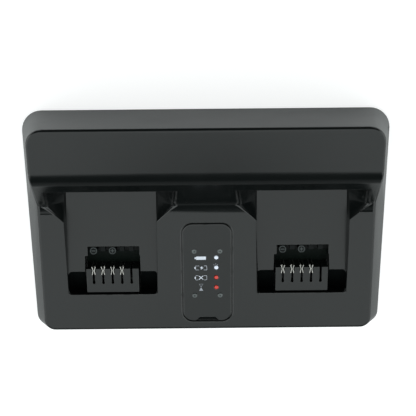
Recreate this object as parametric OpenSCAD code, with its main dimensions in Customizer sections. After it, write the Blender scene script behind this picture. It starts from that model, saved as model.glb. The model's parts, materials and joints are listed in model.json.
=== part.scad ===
// Two-bay charger for slide-on power tool battery packs, standing on a table.
// X runs across the two bays, Y runs back towards the tower and Z is up.
// The origin is on the table, under the middle of the body.
// Places along the body are given as a run: the distance forward from the rear wall.

/* [Body] */
// Depth from the rear wall to the front edge
body_d = 190; // [184:1:200]
// Width of the foot outline at the rear
foot_w_rear = 314; // [308:1:326]
// Width of the foot outline at the front
foot_w_front = 297; // [291:1:306]
// Width of the deck and of the tower's face, over their rounded edges
deck_w = 281; // [280:1:284]
// Height of the tower's rear top edge over the table
tower_h = 106; // [100:1:112]
// Run of the tower's lip
lip_run = 45.7; // [42:0.1:48]
// Slope of the tower's face
face_tilt = 17.5; // [14:0.5:20]
// Run at which the deck begins
deck_run = 73.7; // [70:0.1:76]
// Height of the deck where it begins
deck_h = 48; // [46:0.5:50]
// Slope of the deck
deck_tilt = 12; // [11:0.5:13]
// Wall thickness of the mouldings
wall = 2.6; // [2:0.1:3]

/* [Battery bays] */
// Distance of each bay's middle from the middle of the body
bay_x = 80.2; // [78:0.1:84]
// Width of the channel's floor
bay_w = 75.6; // [72:0.1:78]
// Lean of the channel's side walls
bay_draft = 3; // [1:0.5:4]
// Half width of the funnel's mouth at the deck
funnel_half = 53.4; // [51:0.1:54]
// Width of the bevelled lip round the funnel's mouth
funnel_lip = 2.6; // [1.5:0.1:2.8]
// Run at which the channel begins
bay_start = 56.6; // [55:0.1:60]
// Run at which the funnel has closed to the channel
funnel_end = 88; // [84:0.1:92]
// Run at which the bay ends
bay_end = 154.6; // [150:0.1:158]
// Height of the channel floor
floor_h = 28; // [27:0.5:29]
// Height at which the ramps of the side wells begin
well_top = 24; // [22:0.5:25]
// Height at the bottom of the side wells
well_h = 11.5; // [11:0.5:15]
// Run at which the side wells begin
well_start = 135.2; // [133:0.1:138]

/* [Terminals] */
// Distance between neighbouring contact slots
slot_pitch = 8; // [7:0.5:8.5]
// Slots in each block
slots = 5; // [3:1:5]
// Width of a slot
slot_w = 1.9; // [1.6:0.1:2.2]
// Width of the terminal block
block_w = 44.2; // [44:0.1:45]
// Run at which the block begins
block_start = 131.4; // [130:0.1:133]
// Thickness of a contact blade
blade = 0.6; // [0.5:0.1:0.8]

/* [Indicator panel] */
// Width of the panel
panel_w = 42; // [38:1:46]
// Length of the panel along the deck
panel_l = 92.4; // [88:0.2:94]
// Run of the panel's middle
panel_run = 135.6; // [135:0.1:138]
// Distance between neighbouring status lights along the deck
light_pitch = 9.4; // [8:0.1:10]
// Diameter of a status light
light_d = 3.8; // [3:0.1:4.2]

/* [Foot and wall mount] */
// Height of the rubber feet under the base
foot_h = 3; // [2:0.5:4]
// Distance between the two keyholes
keyhole_span = 220; // [216:1:228]
// Diameter of a keyhole's entry
keyhole_d = 9; // [8:0.5:10]
// Width of a keyhole's slot
keyhole_slot = 4.6; // [4:0.1:5]

/* [Hidden] */
$fn = 48;

// Fine details
eps = 0.01;                 // overlap that keeps joined solids one
fit = 0.3;                  // gap round a seated piece
edge = 2.5;                 // rounding of the long outer edges
rim = foot_h;               // the housing's lower rim and the base's underside
plate = 3;                  // thickness of the base cover
plate_top = rim + plate;
lip_r = 24;                 // rounding of the tower's lip
cove_r = 18;                // hollow rounding between the slope and the deck
slope_tilt = atan((face_z(lip_run) - deck_h) / (deck_run - lip_run));
corner_rear = 17;           // upright corners of the foot, the tower's top and the deck
corner_front = 11;
corner_face = 13.5;
corner_deck = 9.5;
mouth_lean = 3.4;           // how far the funnel's outer side leans in up the slope
funnel_fillet = 2.2;        // rounding between the floor and the funnel's sides

// Terminal insert, standing on the terminal board
block_end = bay_end - 1.5;
notch_run = 121.4;          // where the deep notch before the block widens
comb_run = 113.3;           // where the comb of fingers before the notch begins
notch_w = block_w + 2.6;
comb_w = block_w + 0.4;
comb_x = 0.9;               // middle of the comb's opening
comb_h = floor_h - 0.5;
finger_w = 4.1;
finger_l = 4.2;
pad_d = 6.8;                // round pads on the first and the third finger
board_z = 7.4;              // underside of the terminal board
insert_z = board_z + 1.6;
flange_top = insert_z + 2.4;
mouth_w = 3.5;              // widened mouth of a slot that holds a fork
mouth_l = 5.8;
slot_l = 14;
slot_end_d = 2.5;
slot_floor = 14;

// Indicator parts, as depths under the deck's surface
panel_t = 2;
board_t = 1.6;
board_drop = 11;            // top of the indicator board
led_h = 1.9;
led_drop = board_drop - led_h;
light_x = 7.8;
board_screw_x = 13;
board_screw_y = 27;
pry_w = 20;                 // lifting notch in the panel's front edge
pry_l = 3.2;

// Power board
pcb_z = 14;
pcb_x = 112;
pcb_runs = [8, 50];
pcb_top = pcb_z + board_t;
post_x = [-104, 0, 104];
post_runs = [13, 46];

// Mains inlet in the right side wall
inlet_run = 26;
inlet_z = 25;
inlet_x = 147.5;            // flat bottom of the inlet's recess
inlet_l = 22;
inlet_w = 12;

// Screws, feet and keyholes: [x, run]
screw_places = [[-124, 11], [124, 11], [-137, 62], [137, 62], [-130, 176], [130, 176], [0, 62], [0, 177]];
foot_places = [[-134, 30], [134, 30], [-126, 160], [126, 160]];
keyhole_run = 84;
keyhole_l = 8;

function back(run) = body_d / 2 - run;
function face_z(run) = tower_h - run * tan(face_tilt);
function deck_z(run) = deck_h - (run - deck_run) * tan(deck_tilt);
function foot_half(run) = (foot_w_rear - (foot_w_rear - foot_w_front) * run / body_d) / 2;
function slot_x(i) = (i - (slots - 1) / 2) * slot_pitch;
function light_y(i) = 0.5 + (1.5 - i) * light_pitch;

// ---------- placing helpers ----------

// Places children on the deck's surface, with their Z square to it
module on_deck(run, x = 0) {
    translate([x, back(run), deck_z(run)])
        rotate([deck_tilt, 0, 0])
            children();
}

// Places children on the tower's face
module on_face(run, x = 0) {
    translate([x, back(run), face_z(run)])
        rotate([face_tilt, 0, 0])
            children();
}

// A box between two runs and two heights, centred on x
module run_box(x, w, run0, run1, z0, z1) {
    translate([x - w / 2, back(run1), z0])
        cube([w, run1 - run0, z1 - z0]);
}

// A bar along X
module x_bar(r, half) {
    rotate([0, 90, 0])
        cylinder(r = r, h = 2 * half, center = true);
}

// A disc whose upper edge is rounded by e, with its top at z = 0
module edge_disc(r, e) {
    for (a = [0, 30, 60, 90])
        translate([0, 0, -e + e * sin(a) - eps])
            cylinder(r = r - e + e * cos(a), h = eps, $fn = 32);
}

// A flat plate with rounded corners, its top at z = 0
module rounded_plate(w, l, r, t) {
    for (x = [-1, 1])
        for (y = [-1, 1])
            translate([x * (w / 2 - r), y * (l / 2 - r), -t])
                cylinder(r = r, h = t);
    translate([-w / 2 + r, -l / 2, -t])
        cube([w - 2 * r, l, t]);
    translate([-w / 2, -l / 2 + r, -t])
        cube([w, l - 2 * r, t]);
}

// ---------- outer form ----------

// One corner of the foot outline
module foot_corner(side, run, r, inset, z) {
    translate([side * (foot_half(run) - r), back(run), z])
        cylinder(r = r - inset, h = eps, $fn = 32);
}

// The low wedge under the deck
module wedge_form(inset, z) {
    hull()
        for (side = [-1, 1]) {
            foot_corner(side, corner_rear, corner_rear, inset, z);
            foot_corner(side, body_d - corner_front, corner_front, inset, z);
            on_deck(25, side * (deck_w / 2 - 6))
                translate([0, 0, -inset])
                    edge_disc(6 - inset, edge - inset + eps);
            on_deck(body_d - 1 - corner_deck, side * (deck_w / 2 - corner_deck))
                translate([0, 0, -inset])
                    edge_disc(corner_deck - inset, edge - inset + eps);
        }
}

// The tower with its face, rounded lip and steep slope
module tower_form(inset, z) {
    lip_tangent = lip_run - lip_r * tan((slope_tilt - face_tilt) / 2) * cos(face_tilt);
    hull() {
        for (side = [-1, 1]) {
            foot_corner(side, corner_rear, corner_rear, inset, z);
            foot_corner(side, 84, 5, inset, z);
            on_face(corner_face + 1, side * (deck_w / 2 - corner_face))
                translate([0, 0, -inset])
                    edge_disc(corner_face - inset, edge - inset + eps);
        }
        // Rounded lip, with rounded ends
        on_face(lip_tangent)
            translate([0, 0, -lip_r])
                for (a = [0, 45, 90])
                    x_bar(lip_r - edge + (edge - inset) * sin(a),
                        deck_w / 2 - edge + (edge - inset) * cos(a), $fn = 96);
        // The slope runs on into the wedge
        translate([0, back(deck_run), deck_h])
            rotate([slope_tilt, 0, 0])
                translate([0, -20, -edge])
                    for (a = [0, 45, 90])
                        x_bar(0.2 + (edge - inset) * sin(a), deck_w / 2 - edge + (edge - inset) * cos(a),
                            $fn = 24);
    }
}

// Hollow rounding where the slope meets the deck
module cove() {
    turn = slope_tilt - deck_tilt;
    reach = cove_r * tan(turn / 2);
    translate([0, back(deck_run), deck_h])
        rotate([deck_tilt, 0, 0])
            rotate([90, 0, 90])
                linear_extrude(deck_w - 2 * edge, center = true)
                    difference() {
                        polygon([
                            [0.6, -0.6],
                            [-reach - 0.3, -0.6],
                            [-reach, 0],
                            [reach * cos(turn), reach * sin(turn)],
                            [reach * cos(turn) + 0.6, reach * sin(turn)]
                        ]);
                        translate([-reach, cove_r])
                            circle(r = cove_r, $fn = 96);
                    }
}

// ---------- battery bay ----------

// Places children at a bay, with their +X towards the nearer side of the charger
module at_bay(side) {
    translate([side * bay_x, 0, 0])
        mirror([side < 0 ? 1 : 0, 0, 0])
            children();
}

// Extrudes children, drawn as [X, height], between two runs
module along_run(run0, run1) {
    translate([0, back(run0), 0])
        rotate([90, 0, 0])
            linear_extrude(run1 - run0)
                children();
}

// Extrudes children, drawn as [-run, height], across a width
module across(w) {
    translate([-w / 2, back(0), 0])
        rotate([90, 0, 90])
            linear_extrude(w)
                children();
}

function channel_half(z) = bay_w / 2 + (z - floor_h) * tan(bay_draft);
function slope_z(run) = deck_h + (deck_run - run) * tan(slope_tilt);

// Section of one funnel side, as [X, height]: floor, fillet, leaning wall, bevelled lip
function funnel_side(half, top, lip) =
    let (
        corner = [bay_w / 2, floor_h],
        lean = (half - corner[0]) / (top - floor_h),
        low = corner - [funnel_fillet, 0],
        high = corner + funnel_fillet * [lean, 1],
        wall_top = [half - lean * lip, top - lip]
    )
    [[-5, floor_h], low, (low + 2 * corner + high) / 4, high, wall_top, wall_top + 2 * [lip, lip],
        [wall_top[0] + 2 * lip, 140], [-5, 140]];

// One side of the funnel that leads a pack in from the tower's slope
module funnel_flank(half_slope, half_deck) {
    end_z = deck_z(funnel_end);
    runs = [bay_start, deck_run, funnel_end];
    sections = [
        funnel_side(half_slope, slope_z(bay_start), funnel_lip),
        funnel_side(half_deck, deck_h, funnel_lip),
        funnel_side(channel_half(end_z) - 0.02, end_z, 0.2)
    ];
    n = len(sections[0]);
    polyhedron(
        points = [for (k = [0:2]) for (p = sections[k]) [p[0], back(runs[k]), p[1]]],
        faces = concat(
            [[for (i = [0:n - 1]) i]],
            [[for (i = [n - 1:-1:0]) 2 * n + i]],
            [for (k = [0, n]) for (i = [0:n - 1]) [k + n + (i + 1) % n, k + (i + 1) % n, k + i]],
            [for (k = [0, n]) for (i = [0:n - 1]) [k + n + i, k + n + (i + 1) % n, k + i]]
        )
    );
}

// Everything taken out of the housing for one bay
module bay_cut(side) {
    at_bay(side) {
        // Straight channel over the floor
        intersection() {
            along_run(bay_start, bay_end)
                polygon([
                    [-bay_w / 2, floor_h],
                    [bay_w / 2, floor_h],
                    [channel_half(130), 130],
                    [-channel_half(130), 130]
                ]);
            translate([0, back((bay_start + bay_end) / 2), 130])
                rounded_plate(2 * channel_half(deck_h), bay_end - bay_start, 4, 130);
        }
        funnel_flank(funnel_half - mouth_lean, funnel_half);
        mirror([1, 0, 0])
            funnel_flank(funnel_half + 1, funnel_half);
        // Side wells with their ramps
        intersection() {
            across(bay_w)
                polygon([
                    [-well_start, well_top],
                    [-bay_end, well_h],
                    [-bay_end, 60],
                    [-well_start, 60]
                ]);
            translate([0, back((well_start + bay_end) / 2), 60])
                rounded_plate(bay_w, bay_end - well_start, 3, 60);
        }
        run_box(0, notch_w, notch_run, well_start + 4, 0, 60);
        run_box(0, comb_w, well_start, block_end + fit, 0, 60);
    }
    run_box(side * bay_x + comb_x, comb_w - 0.7, comb_run, notch_run + eps, 0, 60);
}

// Solid walls that the cavity leaves round one bay
module bay_walls(side) {
    at_bay(side) {
        run_box(0, 2 * (funnel_half + 1 + wall), bay_start - wall, funnel_end + 5, floor_h - wall, 130);
        run_box(0, 2 * (channel_half(deck_h) + wall), bay_start - wall, bay_end + wall, floor_h - wall, 130);
        run_box(0, notch_w + 2 * wall, comb_run - wall, bay_end + wall, flange_top, 130);
        across(bay_w + 2 * wall)
            polygon([
                [-well_start + wall, well_top - wall],
                [-bay_end - wall, well_h - 1.5 * wall],
                [-bay_end - wall, 60],
                [-well_start + wall, 60]
            ]);
    }
}

// ---------- housing ----------

// Posts, bosses and pads that the cavity leaves standing
module inner_bosses() {
    for (p = screw_places)
        translate([p[0], back(p[1]), plate_top])
            cylinder(d = 8, h = 130);
    for (x = [-1, 1])
        for (y = [-1, 1])
            on_deck(panel_run, x * board_screw_x)
                translate([0, y * board_screw_y, -board_drop])
                    cylinder(d = 6, h = board_drop);
    on_deck(panel_run)
        rounded_plate(panel_w + 4, panel_l + 4, 10, panel_t + wall);
    translate([inlet_x - wall, back(inlet_run) - inlet_l / 2 - 4, inlet_z - inlet_w / 2 - 4])
        cube([20, inlet_l + 8, inlet_w + 8]);
}

module upper_housing() {
    color([0.09, 0.095, 0.095])
        difference() {
            union() {
                wedge_form(0, rim);
                tower_form(0, rim);
                cove();
            }
            difference() {
                union() {
                    wedge_form(wall, rim - 1);
                    tower_form(wall, rim - 1);
                }
                bay_walls(-1);
                bay_walls(1);
                inner_bosses();
            }
            bay_cut(-1);
            bay_cut(1);
            // Seat of the indicator panel, with a notch to lift it by
            on_deck(panel_run) {
                translate([0, 0, 5])
                    rounded_plate(panel_w + 2 * fit, panel_l + 2 * fit, 9, panel_t + 5);
                for (i = [0:3])
                    translate([light_x, light_y(i), -10])
                        cylinder(d = light_d + 2 * fit, h = 10);
                for (x = [-1, 1])
                    for (y = [-1, 1])
                        translate([x * board_screw_x, y * board_screw_y, -board_drop - eps])
                            cylinder(d = 2.4, h = 6);
                for (p = panel_screw_places())
                    translate([p[0], p[1], -panel_t - wall - 1])
                        cylinder(d = 2, h = 5);
            }
            // Pilot holes for the housing screws
            for (p = screw_places)
                translate([p[0], back(p[1]), plate_top - eps])
                    cylinder(d = 3.2, h = 12);
            // Recess and window of the mains inlet
            translate([inlet_x, back(inlet_run) - 13, inlet_z - 8.5])
                cube([20, 26, 17]);
            translate([inlet_x - 10, back(inlet_run) - inlet_l / 2 - fit, inlet_z - inlet_w / 2 - fit])
                cube([20, inlet_l + 2 * fit, inlet_w + 2 * fit]);
        }
}

// ---------- base ----------

module keyhole(x) {
    translate([x, back(keyhole_run), 0]) {
        cylinder(d = keyhole_d, h = 20);
        translate([-keyhole_slot / 2, 0, 0])
            cube([keyhole_slot, keyhole_l, 20]);
        translate([0, keyhole_l, 0])
            cylinder(d = keyhole_slot, h = 20);
    }
}

module base_cover() {
    color([0.1, 0.1, 0.1])
        difference() {
            union() {
                hull()
                    for (side = [-1, 1])
                        for (layer = [[rim, 0], [plate_top - eps, 1]]) {
                            foot_corner(side, corner_rear, corner_rear, wall + fit + layer[1], layer[0]);
                            foot_corner(side, body_d - corner_front, corner_front,
                                wall + fit + layer[1], layer[0]);
                        }
                // Posts under the power board
                for (x = post_x)
                    for (run = post_runs)
                        translate([x, back(run), plate_top - eps])
                            cylinder(d = 7, h = pcb_z - plate_top + eps);
                // Ribs that press the terminal boards and their inserts up against the housing
                for (side = [-1, 1])
                    for (x = [-1, 1])
                        run_box(side * bay_x + x * 18, 3, comb_run + 2, bay_end - 4,
                            plate_top - eps, board_z);
            }
            for (x = post_x)
                for (run = post_runs)
                    translate([x, back(run), plate_top])
                        cylinder(d = 2.4, h = 10);
            // Counterbored screw holes
            for (p = screw_places)
                translate([p[0], back(p[1]), 0]) {
                    cylinder(d = 4.2, h = 20);
                    cylinder(d = 7.4, h = rim + 1.4);
                }
            for (p = foot_places)
                translate([p[0], back(p[1]), 0])
                    cylinder(d = 16, h = rim + 1);
            for (side = [-1, 1])
                keyhole(side * keyhole_span / 2);
            // Vent slots under the power board and under the deck
            for (x = [-84:6:84])
                translate([x - 1.25, back(40), 0])
                    cube([2.5, 20, 20]);
        }
}

// ---------- terminals ----------

// Insert with a comb of fingers, a deep notch and the slotted block, on one flange
module terminal_block(x) {
    color([0.1, 0.105, 0.11])
        difference() {
            union() {
                run_box(x, notch_w + 2 * wall, comb_run - wall, bay_end + wall, insert_z, flange_top);
                run_box(x, block_w, block_start, block_end, flange_top - eps, floor_h - 6);
                // Block with its top parallel to the deck
                intersection() {
                    run_box(x, block_w, block_start, block_end, flange_top, 60);
                    translate([x - 50, back(block_start), 33.5])
                        rotate([deck_tilt, 0, 0])
                            translate([0, -60, -60])
                                cube([100, 80, 60]);
                }
                for (i = [0:slots - 1])
                    run_box(x + slot_x(i), finger_w, comb_run + fit, comb_run + finger_l,
                        flange_top - eps, comb_h);
                for (i = [0, 2])
                    translate([x + slot_x(i), back(comb_run + fit + pad_d / 2), insert_z])
                        cylinder(d = pad_d, h = comb_h - insert_z);
            }
            // Bottom of the notch, open to the terminal board
            run_box(x, notch_w - 2 * fit, comb_run + pad_d + 1, block_start, 0, 60);
            // Contact slots, the last one narrow and empty
            for (i = [0:slots - 1]) {
                run_box(x + slot_x(i), slot_w, block_start - 1, block_start + slot_l - slot_end_d / 2,
                    slot_floor, 60);
                translate([x + slot_x(i), back(block_start + slot_l - slot_end_d / 2), slot_floor])
                    cylinder(d = slot_end_d, h = 60);
            }
            for (i = [0:slots - 2]) {
                run_box(x + slot_x(i), mouth_w, block_start - 1, block_start + mouth_l, slot_floor, 60);
                run_box(x + slot_x(i), 2.2, block_start + 2, block_start + 4.6, 0, slot_floor + 1);
            }
        }
}

// One fork: two sprung blades that pinch behind a flared mouth, and a tail down to the board
module fork(x) {
    pinch = 0.2;
    flare = 1.25;
    root = mouth_w / 2 - 0.15;
    top = 32;
    translate([x, back(block_start), slot_floor])
        linear_extrude(top - slot_floor)
            for (side = [-1, 1])
                polygon([
                    [side * flare, 1.5],
                    [side * (flare + blade), 1.5],
                    [side * (pinch + blade), -1.8],
                    [side * root, -mouth_l + 0.2],
                    [side * (root - blade), -mouth_l + 0.2],
                    [side * pinch, -1.8]
                ]);
    run_box(x, 2 * root, block_start + 2.2, block_start + mouth_l - 0.2, slot_floor, slot_floor + 1.2);
    run_box(x, 2, block_start + 2.2, block_start + 4.4, insert_z, slot_floor + eps);
}

module fork_contacts(x) {
    color([0.85, 0.83, 0.78])
        for (i = [0:slots - 2])
            fork(x + slot_x(i));
}

// Board that carries one bay's contacts
module terminal_board(x) {
    color([0.05, 0.3, 0.15])
        run_box(x, notch_w + 2 * wall, comb_run - 12, bay_end + wall, board_z, insert_z);
}

// Wires from the terminal board's rear end back to the power board
module contact_wires(x) {
    start_run = comb_run - 5;
    end_run = pcb_runs[1] - 3;
    z = insert_z + 1;
    color([0.7, 0.1, 0.1])
        for (i = [0:slots - 2])
            translate([x + slot_x(i), back(start_run), z]) {
                rotate([-90, 0, 0])
                    cylinder(d = 2, h = start_run - end_run, $fn = 24);
                translate([0, start_run - end_run, 0]) {
                    sphere(d = 2, $fn = 24);
                    cylinder(d = 2, h = pcb_z - z, $fn = 24);
                }
            }
}

// ---------- indicator ----------

function panel_screw_places() = [for (x = [-10.7, 10.9]) for (y = [-21.1, 20.8]) [x, y]];

module indicator_panel() {
    color([0.08, 0.085, 0.085])
        on_deck(panel_run)
            difference() {
                rounded_plate(panel_w, panel_l, 8.8, panel_t);
                for (i = [0:3])
                    translate([light_x, light_y(i), -5])
                        cylinder(d = light_d, h = 10);
                for (p = panel_screw_places())
                    translate([p[0], p[1], -5]) {
                        cylinder(d = 2.2, h = 10);
                        translate([0, 0, 4])
                            cylinder(d = 3.8, h = 10);
                    }
                // Lifting notch in the front edge
                translate([0, -panel_l / 2, -5])
                    linear_extrude(10)
                        polygon([
                            [-pry_w / 2 - 1, -1],
                            [pry_w / 2 + 1, -1],
                            [pry_w / 2 - pry_l, pry_l],
                            [-pry_w / 2 + pry_l, pry_l]
                        ]);
            }
}

module panel_screws() {
    color([0.45, 0.46, 0.46])
        on_deck(panel_run)
            for (p = panel_screw_places())
                translate([p[0], p[1], 0]) {
                    translate([0, 0, -1])
                        cylinder(d = 3.6, h = 1);
                    translate([0, 0, -4.5])
                        cylinder(d = 2, h = 4, $fn = 24);
                }
}

module light_pipes() {
    color([0.9, 0.92, 0.92])
        on_deck(panel_run)
            for (i = [0:3])
                translate([light_x, light_y(i), -led_drop])
                    cylinder(d = light_d, h = led_drop + 0.2);
}

module status_leds() {
    color([0.95, 0.95, 0.85])
        on_deck(panel_run)
            for (i = [0:3])
                translate([light_x - 1.75, light_y(i) - 1.4, -board_drop])
                    cube([3.5, 2.8, led_h]);
}

module indicator_board() {
    color([0.05, 0.3, 0.15])
        on_deck(panel_run)
            difference() {
                translate([0, 0, -board_drop])
                    rounded_plate(34, 62, 2, board_t);
                for (x = [-1, 1])
                    for (y = [-1, 1])
                        translate([x * board_screw_x, y * board_screw_y, -20])
                            cylinder(d = 2.4, h = 20);
            }
}

// Wires from the indicator board down and back to the power board
module indicator_wires() {
    start_run = 110;
    end_run = pcb_runs[1] - 3;
    lift = 3;
    rise = deck_z(start_run) - (board_drop + board_t) / cos(deck_tilt) - pcb_top - lift;
    color([0.15, 0.15, 0.16])
        for (i = [0:3])
            translate([6 + i * 3, back(start_run), pcb_top + lift]) {
                cylinder(d = 1.4, h = rise, $fn = 24);
                sphere(d = 1.4, $fn = 24);
                rotate([-90, 0, 0])
                    cylinder(d = 1.4, h = start_run - end_run, $fn = 24);
                translate([0, start_run - end_run, 0]) {
                    sphere(d = 1.4, $fn = 24);
                    translate([0, 0, -lift])
                        cylinder(d = 1.4, h = lift, $fn = 24);
                }
            }
}

// ---------- power supply ----------

module power_board() {
    color([0.05, 0.3, 0.15])
        difference() {
            run_box(0, 2 * pcb_x, pcb_runs[0], pcb_runs[1], pcb_z, pcb_top);
            for (x = post_x)
                for (run = post_runs)
                    translate([x, back(run), 0])
                        cylinder(d = 2.4, h = 40);
        }
}

module transformer() {
    color([0.35, 0.33, 0.28])
        translate([-20, back(30), pcb_top]) {
            translate([-17, -14, 0])
                cube([34, 28, 4]);
            translate([-21, -12, 4])
                cube([42, 24, 8]);
            translate([-21, -12, 28])
                cube([42, 24, 8]);
            translate([0, 0, 12])
                cylinder(d = 22, h = 16);
            for (x = [-21, 13])
                translate([x, -6, 12])
                    cube([8, 12, 16]);
        }
}

module common_mode_choke() {
    color([0.55, 0.35, 0.15])
        translate([62, back(30), pcb_top]) {
            translate([-11, -11, 0])
                cube([22, 22, 3]);
            translate([0, 0, 2.6])
                rotate_extrude()
                    translate([7.5, 4.5])
                        circle(r = 4.5, $fn = 32);
        }
}

module mains_capacitor() {
    color([0.85, 0.7, 0.1])
        run_box(84, 9, 18, 36, pcb_top, pcb_top + 16);
}

module bulk_capacitor() {
    color([0.12, 0.12, 0.2])
        translate([26, back(30), pcb_top])
            cylinder(d = 22, h = 38);
}

module output_capacitors() {
    color([0.12, 0.12, 0.2])
        for (x = [-88, -74])
            for (run = [22, 38])
                translate([x, back(run), pcb_top])
                    cylinder(d = 10, h = 20);
}

module bridge_rectifier() {
    color([0.1, 0.1, 0.1])
        run_box(44, 6, 18, 40, pcb_top, pcb_top + 15);
}

module fuse() {
    color([0.8, 0.8, 0.85])
        translate([98, back(40), pcb_top + 3])
            rotate([-90, 0, 0]) {
                cylinder(d = 5.2, h = 20);
                cylinder(d = 6, h = 5);
                translate([0, 0, 15])
                    cylinder(d = 6, h = 5);
            }
}

module heat_sink() {
    color([0.7, 0.7, 0.72])
        translate([-56, back(30), pcb_top]) {
            translate([-1.5, -16, 0])
                cube([3, 32, 40]);
            for (y = [-16:6:14])
                translate([-10, y, 0])
                    cube([9, 2, 40]);
        }
}

module power_transistors() {
    color([0.12, 0.12, 0.12])
        for (y = [-9, 9])
            translate([-54.5, back(30) + y, pcb_top]) {
                translate([0, -5, 6])
                    cube([4.5, 10, 15]);
                for (leg = [-2.5, 0, 2.5])
                    translate([1.5, leg - 0.4, 0])
                        cube([0.6, 0.8, 6 + eps]);
            }
}

// ---------- mains inlet ----------

module inlet_socket() {
    color([0.07, 0.07, 0.07])
        difference() {
            union() {
                translate([inlet_x - 16, back(inlet_run) - inlet_l / 2, inlet_z - inlet_w / 2])
                    cube([16, inlet_l, inlet_w]);
                translate([inlet_x - wall - 3, back(inlet_run) - inlet_l / 2 - 3,
                    inlet_z - inlet_w / 2 - 3])
                    cube([3, inlet_l + 6, inlet_w + 6]);
            }
            // Figure-eight opening, and the holes that hold the pins
            for (y = [-4.3, 4.3])
                translate([inlet_x - 12, back(inlet_run) + y, inlet_z])
                    rotate([0, 90, 0]) {
                        cylinder(d = 9, h = 20);
                        translate([0, 0, -10])
                            cylinder(d = 2.4, h = 12);
                    }
        }
}

module inlet_pins() {
    color([0.8, 0.8, 0.82])
        for (y = [-4.3, 4.3])
            translate([inlet_x - 20, back(inlet_run) + y, inlet_z])
                rotate([0, 90, 0])
                    cylinder(d = 2.4, h = 17);
}

// Wires from the pins to the power board
module inlet_wires() {
    color([0.15, 0.1, 0.08])
        for (y = [-4.3, 4.3])
            translate([pcb_x - 2, back(inlet_run) + y, inlet_z]) {
                rotate([0, 90, 0])
                    cylinder(d = 2.6, h = inlet_x - 20 - pcb_x + 2, $fn = 24);
                sphere(d = 2.6, $fn = 24);
                translate([0, 0, pcb_top - inlet_z])
                    cylinder(d = 2.6, h = inlet_z - pcb_top, $fn = 24);
            }
}

// ---------- fasteners and feet ----------

module board_screws() {
    color([0.75, 0.75, 0.77]) {
        for (x = post_x)
            for (run = post_runs)
                translate([x, back(run), pcb_top]) {
                    cylinder(d = 5.4, h = 2);
                    translate([0, 0, -7])
                        cylinder(d = 2.4, h = 7 + eps);
                }
        on_deck(panel_run)
            for (x = [-1, 1])
                for (y = [-1, 1])
                    translate([x * board_screw_x, y * board_screw_y, -board_drop - board_t]) {
                        translate([0, 0, -2])
                            cylinder(d = 5.4, h = 2);
                        cylinder(d = 2.4, h = 6);
                    }
    }
}

module housing_screws() {
    color([0.6, 0.6, 0.62])
        for (p = screw_places)
            translate([p[0], back(p[1]), rim + 1.4]) {
                translate([0, 0, -1.3])
                    cylinder(d = 7, h = 1.3 + eps);
                cylinder(d = 3.2, h = 12);
            }
}

module rubber_feet() {
    color([0.13, 0.13, 0.13])
        for (p = foot_places)
            translate([p[0], back(p[1]), 0]) {
                cylinder(d1 = 14, d2 = 16, h = 1);
                translate([0, 0, 1])
                    cylinder(d = 16, h = foot_h);
            }
}

upper_housing();
base_cover();
indicator_panel();
panel_screws();
light_pipes();
indicator_board();
status_leds();
terminal_block(-bay_x);  // left_terminal_block
terminal_block(bay_x);  // right_terminal_block
fork_contacts(-bay_x);  // left_fork_contacts
fork_contacts(bay_x);  // right_fork_contacts
terminal_board(-bay_x);  // left_terminal_board
terminal_board(bay_x);  // right_terminal_board
contact_wires(-bay_x);  // left_contact_wires
contact_wires(bay_x);  // right_contact_wires
power_board();
transformer();
common_mode_choke();
mains_capacitor();
bulk_capacitor();
output_capacitors();
bridge_rectifier();
fuse();
heat_sink();
power_transistors();
inlet_socket();
inlet_pins();
inlet_wires();
indicator_wires();
board_screws();
housing_screws();
rubber_feet();
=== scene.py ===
"""Looks of a two-bay power tool battery charger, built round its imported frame."""

import json
import math

import bmesh
import bpy
from mathutils import Matrix, Vector

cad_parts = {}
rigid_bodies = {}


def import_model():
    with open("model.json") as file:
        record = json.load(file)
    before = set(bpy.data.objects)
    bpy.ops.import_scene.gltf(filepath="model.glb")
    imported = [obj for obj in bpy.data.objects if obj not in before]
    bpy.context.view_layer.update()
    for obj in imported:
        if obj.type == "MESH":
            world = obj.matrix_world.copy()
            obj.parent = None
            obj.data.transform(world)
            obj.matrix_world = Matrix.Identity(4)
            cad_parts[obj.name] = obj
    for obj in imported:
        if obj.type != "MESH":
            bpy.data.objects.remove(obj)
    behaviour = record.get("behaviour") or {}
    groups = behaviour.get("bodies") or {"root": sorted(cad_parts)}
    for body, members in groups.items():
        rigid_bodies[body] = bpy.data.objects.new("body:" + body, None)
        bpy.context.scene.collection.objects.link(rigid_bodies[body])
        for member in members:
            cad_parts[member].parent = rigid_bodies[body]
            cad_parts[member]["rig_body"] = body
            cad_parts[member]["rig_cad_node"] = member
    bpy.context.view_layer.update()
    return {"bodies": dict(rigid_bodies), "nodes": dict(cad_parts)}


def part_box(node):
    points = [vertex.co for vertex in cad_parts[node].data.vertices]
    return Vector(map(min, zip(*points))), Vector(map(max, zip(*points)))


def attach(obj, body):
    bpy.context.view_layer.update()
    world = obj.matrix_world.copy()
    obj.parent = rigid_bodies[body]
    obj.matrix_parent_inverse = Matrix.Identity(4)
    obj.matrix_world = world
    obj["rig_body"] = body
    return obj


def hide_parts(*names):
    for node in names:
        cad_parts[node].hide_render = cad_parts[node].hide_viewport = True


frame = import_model()

bl_info = {
    "name": "Two-bay battery charger",
    "version": (1, 0, 0),
    "blender": (4, 5, 0),
    "location": "3D View > Sidebar > Charger",
    "description": "Finishes a two-bay power tool battery charger and its studio",
    "category": "Object",
}

MM = 0.001
BODY = "root"
CRISP = math.radians(50)
CLOSE = 0.01 * MM
DECK_TILT = math.radians(12)
PANEL_THICKNESS = 2 * MM


def middle(node):
    """Middle of a frame node's box."""
    low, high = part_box(node)
    return (low + high) / 2


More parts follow.
